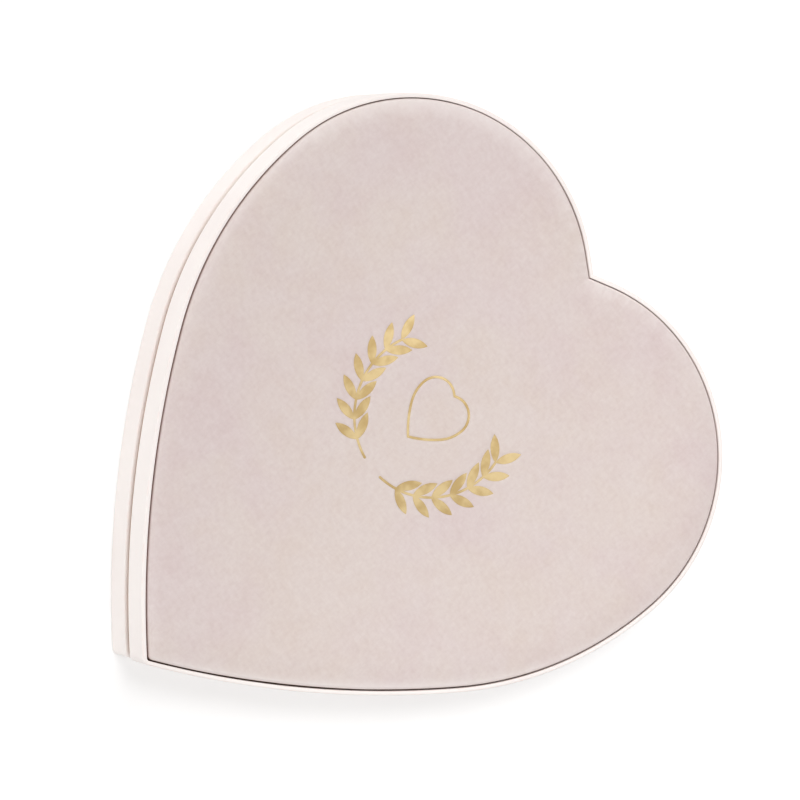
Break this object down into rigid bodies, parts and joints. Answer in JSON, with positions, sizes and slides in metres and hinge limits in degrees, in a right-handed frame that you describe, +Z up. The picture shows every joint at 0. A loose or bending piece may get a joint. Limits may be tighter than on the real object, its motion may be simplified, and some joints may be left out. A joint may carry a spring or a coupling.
{
  "type": "heart-shaped gift box",
  "caption": "Heart-shaped shoulder box with a padded suede-look lid that lifts straight off an inner collar to show a layer of chocolates in paper cups.",
  "frame": {"origin": "middle of the closed box's outline, on the surface that it lies on", "axes": "+Z up out of the lid, +Y from the heart's tip to its notch, X across the two lobes"},
  "size_m": [0.193, 0.2016, 0.0365],
  "materials": {
    "suede": "matte",
    "foam": "matte",
    "foil": "satin",
    "wrap": "matte",
    "collar_paper": "matte",
    "lining": "matte",
    "sheet_paper": "matte",
    "greyboard": "matte",
    "pad": "matte",
    "cup_paper": "matte",
    "dark_chocolate": "satin",
    "milk_chocolate": "satin"
  },
  "bodies": {
    "base": {"base_bottom_board": "greyboard", "base_bottom_sheet": "sheet_paper", "base_floor_lining": "lining", "base_wall_board": "greyboard", "base_wall_wrap": "wrap", "chocolate_10_oval": "dark_chocolate", "chocolate_11_oval": "dark_chocolate", "chocolate_12_oval": "dark_chocolate", "chocolate_13_oval": "dark_chocolate", "chocolate_14_dome": "dark_chocolate", "chocolate_15_heart": "milk_chocolate", "chocolate_16_dome": "dark_chocolate", "chocolate_17_square": "milk_chocolate", "chocolate_18_square": "milk_chocolate", "chocolate_19_heart": "milk_chocolate", "chocolate_1_dome": "dark_chocolate", "chocolate_2_dome": "dark_chocolate", "chocolate_3_dome": "dark_chocolate", "chocolate_4_dome": "dark_chocolate", "chocolate_5_square": "milk_chocolate", "chocolate_6_square": "milk_chocolate", "chocolate_7_heart": "milk_chocolate", "chocolate_8_square": "milk_chocolate", "chocolate_9_square": "milk_chocolate", "collar_board": "greyboard", "collar_wrap": "collar_paper", "cup_1": "cup_paper", "cup_10": "cup_paper", "cup_11": "cup_paper", "cup_12": "cup_paper", "cup_13": "cup_paper", "cup_14": "cup_paper", "cup_15": "cup_paper", "cup_16": "cup_paper", "cup_17": "cup_paper", "cup_18": "cup_paper", "cup_19": "cup_paper", "cup_2": "cup_paper", "cup_3": "cup_paper", "cup_4": "cup_paper", "cup_5": "cup_paper", "cup_6": "cup_paper", "cup_7": "cup_paper", "cup_8": "cup_paper", "cup_9": "cup_paper"},
    "lid": {"lid_ceiling_lining": "lining", "lid_panel_board": "greyboard", "lid_panel_cover": "suede", "lid_panel_foam": "foam", "lid_top_board": "greyboard", "lid_wall_board": "greyboard", "lid_wall_wrap": "wrap", "gold_stamp": "foil", "candy_pad": "pad"}
  },
  "joints": [
    {"name": "lid_lift", "type": "slide", "parent": "base", "child": "lid", "axis": [0, 0, 1], "range_m": [0, 0.08]}
  ]
}
